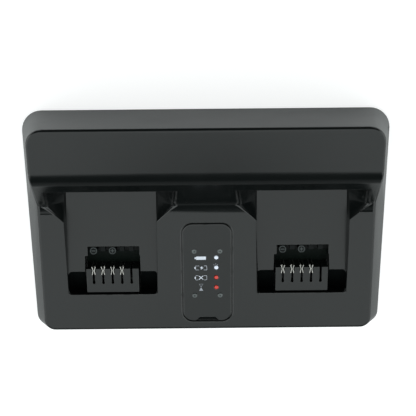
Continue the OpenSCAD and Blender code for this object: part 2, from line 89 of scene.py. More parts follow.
# The panel's upper face: its middle, and its place on the sloping deck
ON_DECK = Matrix.Rotation(DECK_TILT, 4, "X")
PANEL_MIDDLE = middle("indicator_panel") + ON_DECK @ Vector((0, 0, PANEL_THICKNESS / 2))
PANEL_PLACE = Matrix.Translation(PANEL_MIDDLE) @ ON_DECK


# ---------- shader maths ----------


class Wire:
    """A socket in a node tree, which takes part in Python arithmetic."""

    def __init__(self, nodes, socket):
        self.nodes = nodes
        self.socket = socket

    def maths(self, operation, *terms):
        """Adds a Math node to this wire's tree."""
        return self.nodes.node("Math", {"operation": operation}, dict(enumerate(terms)))

    def __add__(self, other):
        return self.maths("ADD", self, other)

    def __radd__(self, other):
        return self.maths("ADD", other, self)

    def __sub__(self, other):
        return self.maths("SUBTRACT", self, other)

    def __rsub__(self, other):
        return self.maths("SUBTRACT", other, self)

    def __mul__(self, other):
        return self.maths("MULTIPLY", self, other)

    def __gt__(self, other):
        return self.maths("GREATER_THAN", self, other)

    def __lt__(self, other):
        return self.maths("LESS_THAN", self, other)

    def __abs__(self):
        return self.maths("ABSOLUTE", self)

    def sine(self):
        return self.maths("SINE", self)

    def at_least(self, other):
        return self.maths("MAXIMUM", self, other)

    def at_most(self, other):
        return self.maths("MINIMUM", self, other)

    def eased(self, low, high):
        """0 below low, 1 above high, and a smooth step between them."""
        settings = {"interpolation_type": "SMOOTHSTEP"}
        return self.nodes.node("MapRange", settings, {"Value": self, "From Min": low, "From Max": high})


class Nodes:
    """A node tree that is wired from its start."""

    def __init__(self, tree):
        self.tree = tree
        tree.nodes.clear()

    def node(self, kind, settings=None, inputs=None, output=0):
        """Adds a node: its type, its settings, and the values or wires of its sockets."""
        made = self.tree.nodes.new("ShaderNode" + kind)
        for key, value in (settings or {}).items():
            setattr(made, key, value)
        for key, value in (inputs or {}).items():
            self.put(made.inputs[key], value)
        return Wire(self, made.outputs[output]) if made.outputs else None

    def put(self, socket, value):
        """Sets a socket to a value, or links a wire to it."""
        if isinstance(value, Wire):
            self.tree.links.new(value.socket, socket)
        else:
            socket.default_value = value

    def axes(self, vector):
        """The three parts of a vector."""
        return [self.node("SeparateXYZ", {}, {0: vector}, axis) for axis in range(3)]

    def mixed(self, factor, first, second):
        """A colour between two colours, which a Mix node takes at its sockets 6 and 7 and gives at 2."""
        return self.node("Mix", {"data_type": "RGBA"}, {0: factor, 6: first, 7: second}, 2)


class Finish(Nodes):
    """A material whose surface is a Principled shader. Keywords name its sockets, with _ for a space."""

    def __init__(self, name, **values):
        self.material = bpy.data.materials.new(name)
        self.material.use_nodes = True
        super().__init__(self.material.node_tree)
        self.surface = self.node("BsdfPrincipled")
        self.node("OutputMaterial", {}, {"Surface": self.surface})
        self.feed(**values)

    def feed(self, **values):
        """Gives values or wires to the surface's sockets, and returns the material."""
        shader = self.surface.socket.node
        for key, value in values.items():
            self.put(shader.inputs[key.replace("_", " ")], value)
        return self.material

    def place(self):
        """The place on the object, in metres."""
        return self.node("TexCoord", {}, {}, "Object")

    def moved(self, size, stretch=(1, 1, 1), seed=0.0):
        """The place on the object in units of size metres, from another start for each seed."""
        return self.node("Mapping", {}, {
            "Vector": self.place(), "Scale": [s / size for s in stretch], "Location": (seed, seed, seed)})

    def noise(self, size, detail=2.0, stretch=(1, 1, 1), seed=0.0):
        """Noise whose blots are about size metres across."""
        where = self.moved(size, stretch, seed)
        return self.node("TexNoise", {}, {"Vector": where, "Scale": 1.0, "Detail": detail})

    def bump(self, height, depth):
        """A normal from a height between 0 and 1, with depth in metres."""
        return self.node("Bump", {}, {"Height": height, "Distance": depth, "Strength": 1.0})


def shade(colour, level=1.0):
    """A colour with its alpha, lightened or darkened by level."""
    return (colour[0] * level, colour[1] * level, colour[2] * level, 1.0)


# ---------- finishes ----------

GREEN_MASK, GREEN_TRACKS = (0.006, 0.07, 0.03), (0.02, 0.14, 0.05)
# Painted shade: the terminal boards' mask and tracks are near black, standing in for the shade in the pit under the
# comb.
PAINTED_SHADE_MASK, PAINTED_SHADE_TRACKS = (0.0018, 0.0042, 0.0032), (0.003, 0.0068, 0.005)
BLACK = (0.012, 0.012, 0.012, 1)
TIN = (0.55, 0.54, 0.5, 1)
# Rounded edges turn a grey this many times the plastic's mean, mixed in at this share: partly edge wear, partly a
# painted highlight.
RIM_WEAR_AND_HIGHLIGHT_LEVEL, RIM_WEAR_AND_HIGHLIGHT_SHARE, MATT_SHARE = 9.0, 0.7, 0.2


def moulded(name, colour, roughness, grain=0.5 * MM, depth=0.01 * MM, gloss=0.37, matt_behind=None):
    """Moulded plastic: a spark-eroded grain, slow random changes of tone, and rounded edges lightened partly as edge
    wear and partly as a painted highlight.

    Behind the place matt_behind, in metres along the body, it has hardly any gloss.
    """
    patch, rim_patch = 38 * MM, 7 * MM
    finish = Finish(name, Specular_IOR_Level=gloss)
    fine = finish.noise(grain, detail=3.0)
    slow = finish.noise(patch, detail=3.0, seed=3.0)
    edge = finish.node("Attribute", {"attribute_name": "rim"}, {}, "Fac")
    # Painted highlight and wear: in patches along the rounded edges the base colour turns a much lighter grey,
    # standing in for light caught on the edges as well as for worn edges.
    worn_and_highlit_edge = edge * finish.noise(rim_patch, seed=7.0).eased(0.2, 0.55)
    base = finish.mixed(slow, shade(colour, 0.88), shade(colour, 1.12))
    if matt_behind is not None:
        matt = finish.node("BsdfPrincipled", {}, {
            "Base Color": base, "Roughness": roughness, "Specular IOR Level": gloss * MATT_SHARE})
        behind = finish.axes(finish.place())[1] > matt_behind
        both = finish.node("MixShader", {}, {0: behind, 1: finish.surface, 2: matt})
        finish.put(finish.tree.nodes["Material Output"].inputs["Surface"], both)
    return finish.feed(
        Base_Color=finish.mixed(worn_and_highlit_edge * RIM_WEAR_AND_HIGHLIGHT_SHARE, base, shade([sum(colour) / 3] * 3, RIM_WEAR_AND_HIGHLIGHT_LEVEL)),
        Roughness=roughness + (slow - 0.5) * 0.08 + (fine - 0.5) * 0.06 - worn_and_highlit_edge * 0.06,
        Normal=finish.bump(fine, depth))


def metal(name, colour, roughness, streak=(1, 1, 1), size=0.8 * MM, depth=0.002 * MM):
    """Plated or drawn metal with fine streaks and dull patches."""
    patch = 5 * MM
    finish = Finish(name, Metallic=1.0)
    streaks = finish.noise(size, detail=4.0, stretch=streak)
    dull = finish.noise(patch, detail=3.0, seed=2.0).eased(0.4, 0.75)
    return finish.feed(
        Base_Color=finish.mixed(dull, shade(colour), shade(colour, 0.82)),
        Roughness=roughness + (streaks - 0.5) * 0.16 + dull * 0.1,
        Normal=finish.bump(streaks, depth))


def ink(name, colour):
    """Printed ink, thin in places."""
    finish = Finish(name)
    thin = finish.noise(0.5 * MM, detail=2.0)
    return finish.feed(
        Base_Color=finish.mixed(thin, shade(colour, 0.94), shade(colour, 1.04)),
        Roughness=0.42 + (thin - 0.5) * 0.1,
        Normal=finish.bump(thin, 0.004 * MM))


def translucent(name, colour, roughness=0.16):
    """Clear or tinted plastic of a light pipe, cloudier towards its side."""
    finish = Finish(name, IOR=1.49)
    cloud = finish.noise(1.4 * MM, detail=3.0)
    return finish.feed(
        Base_Color=finish.mixed(cloud, shade(colour, 0.93), shade(colour, 1.05)),
        Roughness=roughness + (cloud - 0.5) * 0.08,
        Normal=finish.bump(cloud, 0.006 * MM))


def circuit_board(name, mask, copper, pad=0.13, gloss=0.5):
    """Solder mask over copper tracks, with tinned pads whose size is a share of their spacing."""
    pad_spacing = 5.2 * MM
    finish = Finish(name, Specular_IOR_Level=gloss)
    tracks = finish.node("TexBrick", {"offset": 0.37, "squash": 0.6}, {
        "Vector": finish.moved(1.0, seed=0.0013), "Scale": 210.0, "Mortar Size": 0.09, "Mortar Smooth": 0.1}, "Fac")
    spots = finish.node("TexVoronoi", {}, {"Vector": finish.moved(pad_spacing, seed=0.4), "Scale": 1.0})
    pads = spots < pad
    weave = finish.noise(0.5 * MM, detail=3.0)
    coated = finish.mixed(tracks, shade(mask), shade(copper))
    return finish.feed(
        Base_Color=finish.mixed(pads, coated, TIN),
        Metallic=pads * 0.9,
        Roughness=0.34 + (weave - 0.5) * 0.12,
        Normal=finish.bump(tracks * 0.7 + weave * 0.1, 0.03 * MM))


# ---------- shaping helpers ----------


def only(piece):
    """Selects one object and nothing else, in object mode."""
    if bpy.context.object and bpy.context.object.mode != "OBJECT":
        bpy.ops.object.mode_set(mode="OBJECT")
    bpy.ops.object.select_all(action="DESELECT")
    piece.select_set(True)
    bpy.context.view_layer.objects.active = piece
    return piece


def bake(piece, place=None):
    """Puts a piece's place, or a new place, into its mesh."""
    only(piece)
    if place is not None:
        piece.matrix_world = place
    bpy.ops.object.transform_apply(location=True, rotation=True, scale=True)
    return piece


def start(kind, scale=(1, 1, 1), **settings):
    """Adds a primitive with nothing else selected, and puts its size and place into its mesh."""
    only(frame["bodies"][BODY]).select_set(False)
    getattr(bpy.ops.mesh, f"primitive_{kind}_add")(**settings)
    bpy.context.object.scale = scale
    return bake(bpy.context.object)


def choose(piece, kind, test):
    """In edit mode, selects the verts, edges or faces that pass a test, and nothing else."""
    if piece.mode != "EDIT":
        only(piece)
        bpy.ops.object.mode_set(mode="EDIT")
    bpy.ops.mesh.select_mode(type={"verts": "VERT", "edges": "EDGE", "faces": "FACE"}[kind])
    bpy.ops.mesh.select_all(action="DESELECT")
    mesh = bmesh.from_edit_mesh(piece.data)
    found = [part for part in getattr(mesh, kind) if test(part)]
    if not found:
        raise RuntimeError(f"{piece.name} has no {kind} to shape there")
    for part in found:
        part.select_set(True)
    mesh.select_flush_mode()
    bmesh.update_edit_mesh(piece.data)


def extrude(x=0.0, y=0.0, z=0.0):
    bpy.ops.mesh.extrude_region_move(TRANSFORM_OT_translate={"value": (x, y, z)})


def face_down(face):
    return face.normal.z < -0.999


def edge_at(height):
    """A test for edges that lie at a height."""
    return lambda edge: all(abs(v.co.z - height) < CLOSE for v in edge.verts)


def apply_modifier(piece, kind, **settings):
    """Adds a modifier with its settings and applies it."""
    only(piece)
    modifier = piece.modifiers.new(kind.title(), kind)
    for key, value in settings.items():
        setattr(modifier, key, value)
    bpy.ops.object.modifier_apply(modifier=modifier.name)


def smooth(piece, angle=CRISP):
    """Smooth shading that leaves crisp edges and flat faces as they are."""
    only(piece)
    bpy.ops.object.shade_smooth_by_angle(angle=angle)
    apply_modifier(piece, "WEIGHTED_NORMAL", weight=80, keep_sharp=True)


def settle(piece, name, material, replaced=None):
    """Puts the piece's place into its mesh, names it, and lets it ride on the body."""
    bake(piece)
    piece.name = name
    piece.data.name = name
    piece.data.materials.clear()
    piece.data.materials.append(material)
    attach(piece, BODY)
    if replaced:
        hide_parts(replaced)
    return piece


def copies(model, places, names):
    """Copies of a model, each with its own mesh, at each place. The model itself is removed."""
    made = []
    for place, name in zip(places, names):
        piece = model.copy()
        piece.data = model.data.copy()
        piece.name = name
        bpy.context.scene.collection.objects.link(piece)
        piece.matrix_world = place @ model.matrix_world
        made.append(piece)
    bpy.data.objects.remove(model)
    return made


def joined(pieces):
    """Several objects made one."""
    only(pieces[0])
    for piece in pieces[1:]:
        piece.select_set(True)
    bpy.ops.object.join()
    return pieces[0]


def bodies_of(node):
    """The box of each separate solid of a frame node, from left to right and then from the rear."""
    mesh = bmesh.new()
    mesh.from_mesh(frame["nodes"][node].data)
    bmesh.ops.remove_doubles(mesh, verts=mesh.verts, dist=CLOSE)
    left = set(mesh.verts)
    boxes = []
    while left:
        group, waiting = [], [left.pop()]
        while waiting:
            vert = waiting.pop()
            group.append(vert.co.copy())
            near = {edge.other_vert(vert) for edge in vert.link_edges} & left
            left -= near
            waiting.extend(near)
        low = Vector(min(co[axis] for co in group) for axis in range(3))
        high = Vector(max(co[axis] for co in group) for axis in range(3))
        boxes.append((low, high))
    mesh.free()
    return sorted(boxes, key=lambda box: (round(box[0].x, 4), -box[0].y))


def weigh_edges(piece, edge, wide, widest):
    """Gives each crisp outward edge its share of the widest rounding, less where its neighbours are short.

    Where a test in wide holds, edges that turn only a little are rounded too.
    """
    little, room, alike = math.radians(20), 0.45, 0.82
    mesh = bmesh.new()
    mesh.from_mesh(piece.data)
    weight = mesh.edges.layers.float.new("bevel_weight_edge")
    for line in mesh.edges:
        if len(line.link_faces) != 2 or not line.is_convex:
            continue
        turn = line.calc_face_angle()
        width = edge if turn > CRISP else 0.0
        if turn > little:
            for test, chosen in wide:
                if all(test(v.co / MM) for v in line.verts):
                    width = chosen
                    break
        if not width:
            continue
        along = (line.verts[1].co - line.verts[0].co).normalized()
        for vert in line.verts:
            for near in vert.link_edges:
                if near is line:
                    continue
                away = (near.other_vert(vert).co - vert.co).normalized()
                if abs(away.dot(along)) < alike:
                    width = min(width, room * near.calc_length())
        line[weight] = width / widest
    mesh.to_mesh(piece.data)
    mesh.free()


def note_rims(piece):
    """Keeps where the rounded edges are, as an attribute that the finishes read."""
    rims = piece.data.attributes.new("rim", "FLOAT", "FACE")
    for face in piece.data.polygons:
        rims.data[face.index].value = float(face.material_index)
        face.material_index = 0


def moulding_from(node, name, material, edge, wide=(), segments=2, cutter=None):
    """A copy of a frame node with its edges rounded and its curves smooth, which stands for it.

    A cutter is first taken out of it, and removed.
    """
    nearly_flat = math.radians(0.4)
    source = frame["nodes"][node]
    piece = source.copy()
    piece.data = source.data.copy()
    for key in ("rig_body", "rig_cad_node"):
        del piece[key]
    piece.parent = None
    bpy.context.scene.collection.objects.link(piece)
    only(piece)
    bpy.ops.object.mode_set(mode="EDIT")
    bpy.ops.mesh.select_all(action="SELECT")
    bpy.ops.mesh.remove_doubles(threshold=CLOSE)
    bpy.ops.mesh.dissolve_limited(angle_limit=nearly_flat)
    bpy.ops.object.mode_set(mode="OBJECT")
    if cutter:
        apply_modifier(piece, "BOOLEAN", operation="DIFFERENCE", object=cutter, solver="EXACT")
        bpy.data.objects.remove(cutter)
    widest = max([edge, *(chosen for _, chosen in wide)])
    weigh_edges(piece, edge, wide, widest)
    piece.data.materials.clear()
    piece.data.materials.append(material)
    piece.data.materials.append(material)
    apply_modifier(
        piece, "BEVEL", width=widest, segments=segments, limit_method="WEIGHT", use_clamp_overlap=False,
        material=1)
    note_rims(piece)
    smooth(piece)
    return settle(piece, name, material, node)


def coat(node, material):
    """Gives a frame node its material."""
    mesh = frame["nodes"][node].data
    mesh.materials.clear()
    mesh.materials.append(material)


# ---------- housing ----------


class HousingFinish(bpy.types.PropertyGroup):
    colour: bpy.props.FloatVectorProperty(
        name="Colour", description="Colour of the plastic", subtype="COLOR", default=(0.0034, 0.0043, 0.0043))
    roughness: bpy.props.FloatProperty(
        name="Roughness", description="Roughness of the moulded surface", default=0.2, min=0, max=1,
        subtype="FACTOR")
    edge: bpy.props.FloatProperty(
        name="Edge", description="Rounding of the moulded edges", default=0.35 * MM, min=0, unit="LENGTH")
    bay_edge: bpy.props.FloatProperty(
        name="Bay edge", description="Rounding round the battery bays", default=0.8 * MM, min=0, unit="LENGTH")
    panel_edge: bpy.props.FloatProperty(
        name="Panel edge", description="Rounding round the panel's seat", default=1.2 * MM, min=0, unit="LENGTH")


# Places on the housing, in mm, where its edges are rounded more
SEAT_MIDDLE, SEAT_HALF_WIDTH, SEAT_HALF_LENGTH = -40.6, 22.5, 47.5
MOUTH_INNER, MOUTH_OUTER, MOUTH_FRONT = 23, 138, -61
DECK_REAR, SLOPE_FRONT, SLOPE_REAR, SLOPE_FOOT = 22, 20, 39, 42
BAY_FLOOR = 28
NEAR_DECK, NEAR_FLOOR = 0.4, 0.05


def deck_height(y):
    """Height of the deck's plane, in mm, at a place along the body."""
    return (PANEL_MIDDLE.z / MM) + (y - PANEL_MIDDLE.y / MM) * math.tan(DECK_TILT)


def round_panel_seat(co):
    inside = abs(co.x) < SEAT_HALF_WIDTH and abs(co.y - SEAT_MIDDLE) < SEAT_HALF_LENGTH
    return inside and abs(co.z - deck_height(co.y)) < NEAR_DECK


def round_bay_mouth(co):
    on_deck = MOUTH_FRONT < co.y < DECK_REAR and co.z > deck_height(co.y) - NEAR_DECK
    on_slope = SLOPE_FRONT < co.y < SLOPE_REAR and co.z > SLOPE_FOOT
    return MOUTH_INNER < abs(co.x) < MOUTH_OUTER and (on_deck or on_slope)


def on_bay_floor(co):
    return abs(co.z - BAY_FLOOR) < NEAR_FLOOR


def lifting_scoop():
    """A wedge under the notch in the panel's front edge, which slopes down towards the front."""
    low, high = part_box("indicator_panel")
    front = (low.y - high.y) / 2 / math.cos(DECK_TILT)
    width, length, depth, rear_depth = 18 * MM, 3.8 * MM, 1.7 * MM, 0.085 * MM
    centre = front + length / 2
    wedge = start("cube", size=1, scale=(width, length, 2 * depth), location=(0, centre, 0))
    choose(wedge, "verts", lambda vert: vert.co.z < 0 and vert.co.y > centre)
    bpy.ops.transform.translate(value=(0, 0, depth - rear_depth))
    return bake(wedge, PANEL_PLACE @ Matrix.Translation((0, 0, -PANEL_THICKNESS)))


class CHARGER_OT_housing(bpy.types.Operator):
    """Finishes the upper housing and the base cover"""

    bl_idname = "charger.housing"
    bl_label = "Housing"

    def execute(self, context):
        finish = context.scene.charger_housing
        paler, rougher = 1.15, 0.14
        upper = moulded("housing_plastic", finish.colour, finish.roughness)
        lower = moulded(
            "base_plastic", [c * paler for c in finish.colour], finish.roughness + rougher, grain=0.8 * MM)
        moulding_from("upper_housing", "housing_shell", upper, finish.edge, (
            (round_panel_seat, finish.panel_edge),
            (round_bay_mouth, finish.bay_edge),
            (on_bay_floor, finish.edge),
        ), segments=3, cutter=lifting_scoop())
        moulding_from("base_cover", "base_plate", lower, finish.edge)
        return {"FINISHED"}


# ---------- indicator panel ----------


class PanelFinish(bpy.types.PropertyGroup):
    colour: bpy.props.FloatVectorProperty(
        name="Colour", description="Colour of the panel", subtype="COLOR", default=(0.0036, 0.0046, 0.0046))
    edge: bpy.props.FloatProperty(
        name="Edge", description="Rounding of the panel's edge", default=0.7 * MM, min=0, unit="LENGTH")
    joint: bpy.props.FloatProperty(
        name="Joint", description="How far the panel's edge is drawn in from its seat", default=0.5 * MM, min=0,
        unit="LENGTH")
    ink: bpy.props.FloatVectorProperty(
        name="Ink", description="Colour of the printed signs", subtype="COLOR", default=(0.56, 0.59, 0.66))
    ink_height: bpy.props.FloatProperty(
        name="Ink height", description="How far the print stands up", default=0.05 * MM, min=0, unit="LENGTH")
    line: bpy.props.FloatProperty(
        name="Line", description="Width of the printed lines", default=0.22 * MM, min=0, unit="LENGTH")
    ready: bpy.props.FloatVectorProperty(
        name="Upper lights", description="Colour of the two upper light pipes", subtype="COLOR",
        default=(0.66, 0.7, 0.8))
    fault: bpy.props.FloatVectorProperty(
        name="Lower lights", description="Colour of the two lower light pipes", subtype="COLOR",
        default=(0.5, 0.03, 0.02))


# Signs on the panel, in mm from its middle. Plates have their limits in X and Y and the size of their corners.
FULL = ((-9.2, -0.9, 12.8, 15.8, 0.5), (-10.5, -9.4, 13.5, 15.1, 0.3))
CHARGING = ((-9.8, -0.1, 3.1, 7.1, 0.6), (-10.7, -9.85, 4.3, 5.9, 0.2))
CHARGING_GAP = (-6.6, -2.8)
BOLT = ((-4.0, 7.0), (-6.1, 4.9), (-4.75, 4.9), (-5.3, 3.2), (-3.1, 5.5), (-4.45, 5.5))
FAULT = ((-9.8, -0.2, -6.4, -2.1, 0.6), (-10.6, -9.85, -5.1, -3.4, 0.2))
FAULT_GAP = (-7.6, -2.8)
FAULT_CROSS = {"x": -5.2, "y": -4.2, "arm": 2.5, "width": 0.62, "turn": math.radians(45)}
GLASS = ((-7.0, -10.2), (-5.25, -13.4), (-3.5, -10.2))
SAND = ((-5.25, -13.4), (-7.0, -16.6), (-3.5, -16.6))
LEFT_RAY = ((5.6, 8.5), (5.3, 8.2), (6.1, 7.3), (6.4, 7.6))
RIGHT_RAY = ((9.0, 8.4), (8.1, 7.5), (8.4, 7.2), (9.3, 8.1))
MIDDLE_RAY = (7.1, 7.5, 8.2, 9.4, 0.15)


def tag(x0, x1, y0, y1, corner):
    """A flat plate with rounded corners, between limits in mm on the panel."""
    piece = start("plane", size=1, location=((x0 + x1) / 2 * MM, (y0 + y1) / 2 * MM, 0),
                  scale=((x1 - x0) * MM, (y1 - y0) * MM, 1))
    choose(piece, "verts", lambda vert: True)
    bpy.ops.mesh.bevel(offset=corner * MM, segments=4, affect="VERTICES")
    return piece


def corners(points):
    """A flat face whose corners, first a circle's, are drawn out to places in mm on the panel."""
    piece = start("circle", vertices=len(points), radius=MM, fill_type="NGON")
    for index, point in enumerate(points):
        choose(piece, "verts", lambda vert, i=index: vert.index == i)
        at = bmesh.from_edit_mesh(piece.data).verts
        at.ensure_lookup_table()
        bpy.ops.transform.translate(value=Vector((*point, 0)) * MM - at[index].co)
    return piece


def hollow(piece, line):
    """Leaves only a line round a flat plate, and returns it."""
    choose(piece, "faces", lambda face: True)
    bpy.ops.mesh.inset(thickness=line)
    bpy.ops.mesh.delete(type="FACE")
    return piece


def gap(piece, x0, x1):
    """Cuts a flat plate away between two places, in mm."""
    for x in (x0, x1):
        choose(piece, "faces", lambda face: True)
        bpy.ops.mesh.bisect(plane_co=(x * MM, 0, 0), plane_no=(1, 0, 0))
    choose(piece, "faces", lambda face: x0 * MM < face.calc_center_median().x < x1 * MM)
    bpy.ops.mesh.delete(type="FACE")


def draw_arms(piece, kind, reach):
    """Draws a small square or cube out into a cross, by the parts of it that face each of four ways."""
    inner = max(vert.co.x for vert in piece.data.vertices)
    for way in (Vector((1, 0, 0)), Vector((0, 1, 0)), Vector((-1, 0, 0)), Vector((0, -1, 0))):

        def ahead(part, way=way):
            centre = sum((vert.co for vert in part.verts), Vector()) / len(part.verts)
            return abs(centre.dot(way) - inner) < CLOSE and abs(centre.cross(way).z) < CLOSE

        choose(piece, kind, ahead)
        extrude(*(way * reach))


def cross(x, y, arm, width, turn):
    """A flat cross, drawn out of a small square."""
    piece = start("plane", size=width * MM)
    draw_arms(piece, "edges", (arm - width / 2) * MM)
    return bake(piece, Matrix.Translation((x * MM, y * MM, 0)) @ Matrix.Rotation(turn, 4, "Z"))


def battery(body, nub, opening=None, line=None):
    """A flat battery: solid, or its outline with a gap between two places."""
    piece = tag(*body)
    if opening:
        gap(hollow(piece, line), *opening)
    return joined([piece, tag(*nub)])


def raise_up(piece, height):
    """Gives a flat shape its thickness."""
    choose(piece, "faces", lambda face: True)
    extrude(z=height)
    choose(piece, "faces", lambda face: True)
    bpy.ops.mesh.normals_make_consistent(inside=False)
    only(piece)


class CHARGER_OT_panel(bpy.types.Operator):
    """Finishes the indicator panel's plate"""

    bl_idname = "charger.panel"
    bl_label = "Indicator panel"

    def execute(self, context):
        finish = context.scene.charger_panel
        plastic = moulded("panel_plastic", finish.colour, 0.36, grain=0.35 * MM, depth=0.006 * MM)
        plate = moulding_from("indicator_panel", "panel_plate", plastic, finish.edge)
        # Laid flat at the origin, drawn in on all sides, and put back on the deck
        narrower, shorter = (1 - 2 * finish.joint / size for size in plate.dimensions[:2])
        for change in (PANEL_PLACE.inverted(), Matrix.Diagonal((narrower, shorter, 1, 1)), PANEL_PLACE):
            bake(plate, change)
        return {"FINISHED"}


class CHARGER_OT_signs(bpy.types.Operator):
    """Prints the state signs beside the lights"""

    bl_idname = "charger.signs"
    bl_label = "State signs"

    def execute(self, context):
        finish = context.scene.charger_panel
        line, thin_share = finish.line, 0.45
        print_ink = ink("print", finish.ink)
        thin_ink = ink("thin_print", [c * thin_share for c in finish.ink])
        for name, sign, material in (
                ("full_sign", battery(*FULL), print_ink),
                ("charging_sign", joined([battery(*CHARGING, CHARGING_GAP, line), corners(BOLT)]), print_ink),
                ("fault_sign", joined([battery(*FAULT, FAULT_GAP, line), cross(**FAULT_CROSS)]), print_ink),
                ("wait_sign", joined([hollow(corners(GLASS), line), corners(SAND)]), thin_ink),
                ("light_rays", joined([corners(LEFT_RAY), corners(RIGHT_RAY), tag(*MIDDLE_RAY)]), thin_ink)):
            raise_up(sign, finish.ink_height)
            sign.matrix_world = PANEL_PLACE
            settle(sign, name, material)
        return {"FINISHED"}


class CHARGER_OT_lights(bpy.types.Operator):
    """Models one domed light pipe and sets four into the panel"""

    bl_idname = "charger.lights"
    bl_label = "Light pipes"

    def execute(self, context):
        finish = context.scene.charger_panel
        radius, length, dome, wall, hollow_depth = 1.8 * MM, 9.3 * MM, 0.7 * MM, 0.4 * MM, 0.2 * MM
        pipe = start("cylinder", vertices=40, radius=radius, depth=length)
        choose(pipe, "edges", edge_at(length / 2))
        bpy.ops.mesh.bevel(offset=dome, segments=5, affect="EDGES")
        choose(pipe, "faces", face_down)
        bpy.ops.mesh.inset(thickness=wall, depth=-hollow_depth)
        smooth(pipe)
        boxes = sorted(bodies_of("light_pipes"), key=lambda box: -box[0].y)
        places = [Matrix.Translation((low + high) / 2) @ ON_DECK for low, high in boxes]
        names = [f"light_pipe_{number}" for number in range(1, 5)]
        ready = translucent("light_pipe_white", finish.ready)
        fault = translucent("light_pipe_red", finish.fault)
        for piece, material in zip(copies(pipe, places, names), (ready, ready, fault, fault)):
            settle(piece, piece.name, material, "light_pipes")
        coat("indicator_board", circuit_board("indicator_board_finish", GREEN_MASK, GREEN_TRACKS))
        coat("status_leds", translucent("led_plastic", (0.85, 0.84, 0.7), 0.3))
        return {"FINISHED"}


# ---------- terminals ----------


class TerminalFinish(bpy.types.PropertyGroup):
    colour: bpy.props.FloatVectorProperty(
        name="Colour", description="Colour of the terminal inserts", subtype="COLOR", default=(0.004, 0.005, 0.005))
    edge: bpy.props.FloatProperty(
        name="Edge", description="Rounding of the inserts' edges", default=0.25 * MM, min=0, unit="LENGTH")
    comb: bpy.props.FloatProperty(
        name="Comb", description="Length of the matt comb at the rear of the inserts", default=16 * MM, min=0,
        unit="LENGTH")
    metal: bpy.props.FloatVectorProperty(
        name="Contacts", description="Colour of the fork contacts", subtype="COLOR", default=(0.42, 0.41, 0.385))
    relief: bpy.props.FloatProperty(
        name="Relief", description="How far the polarity signs stand up", default=0.3 * MM, min=0, unit="LENGTH")


class CHARGER_OT_terminals(bpy.types.Operator):
    """Finishes the terminal inserts, their contacts and their boards"""

    bl_idname = "charger.terminals"
    bl_label = "Terminals"

    def execute(self, context):
        finish = context.scene.charger_terminals
        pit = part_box("left_terminal_block")[1].y - finish.comb
        plastic = moulded("terminal_plastic", finish.colour, 0.3, grain=0.3 * MM, depth=0.006 * MM, matt_behind=pit)
        tin = metal("contact_tin", finish.metal, 0.26, streak=(1, 1, 0.15))
        # Painted shade: a near-black board with hardly any gloss stands in for the shade in the pit under the comb.
        board = circuit_board("terminal_board_finish", PAINTED_SHADE_MASK, PAINTED_SHADE_TRACKS, pad=0.0, gloss=0.06)
        wire = translucent("wire_red", (0.42, 0.02, 0.018), 0.4)
        for side in ("left", "right"):
            moulding_from(f"{side}_terminal_block", f"{side}_terminal_insert", plastic, finish.edge)
            moulding_from(f"{side}_fork_contacts", f"{side}_contact_forks", tin, edge=0.1 * MM)
            coat(f"{side}_terminal_board", board)
            coat(f"{side}_contact_wires", wire)
        return {"FINISHED"}


class CHARGER_OT_polarity(bpy.types.Operator):
    """Moulds the polarity signs on the pads of the terminal inserts"""

    bl_idname = "charger.polarity"
    bl_label = "Polarity signs"

    def execute(self, context):
        finish = context.scene.charger_terminals
        # Painted highlight: the signs are moulded in the insert's own plastic, but their colour is made seven times
        # lighter for the light their relief catches.
        level = 7
        plastic = moulded("sign_relief", [c * level for c in finish.colour], 0.3, grain=0.3 * MM, depth=0.004 * MM)
        pad_top, pad_from_rear, pad_step = 27.5 * MM, 6.3 * MM, 16 * MM
        ring_radius, ring_line, rounding = 2.95 * MM, 0.6 * MM, 0.08 * MM
        sides = ("left", "right")
        pads = []
        for side in sides:
            low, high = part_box(f"{side}_terminal_block")
            pads.append(Vector(((low.x + high.x) / 2, high.y - pad_from_rear, pad_top)))
        for sign, mark, x in (
                ("minus", tag(-1.7, 1.7, -0.4, 0.4, corner=0.1), -pad_step),
                ("plus", cross(0, 0, arm=1.7, width=0.75, turn=0), 0)):
            ring = start("circle", vertices=32, radius=ring_radius, fill_type="NGON")
            model = joined([hollow(ring, ring_line), mark])
            raise_up(model, finish.relief)
            choose(model, "edges", edge_at(finish.relief))
            bpy.ops.mesh.bevel(offset=rounding, segments=2, affect="EDGES")
            smooth(model)
            places = [Matrix.Translation(pad + Vector((x, 0, 0))) for pad in pads]
            for piece in copies(model, places, [f"{side}_{sign}_sign" for side in sides]):
                settle(piece, piece.name, plastic)
        return {"FINISHED"}


# ---------- screws and feet ----------


class FittingFinish(bpy.types.PropertyGroup):
    panel_screw: bpy.props.FloatVectorProperty(
        name="Panel screws", description="Colour of the panel's screws", subtype="COLOR", default=(0.11, 0.12, 0.12))
    zinc: bpy.props.FloatVectorProperty(
        name="Housing screws", description="Colour of the zinc-plated screws", subtype="COLOR",
        default=(0.5, 0.5, 0.52))
    rubber: bpy.props.FloatVectorProperty(
        name="Feet", description="Colour of the rubber feet", subtype="COLOR", default=(0.03, 0.03, 0.03))


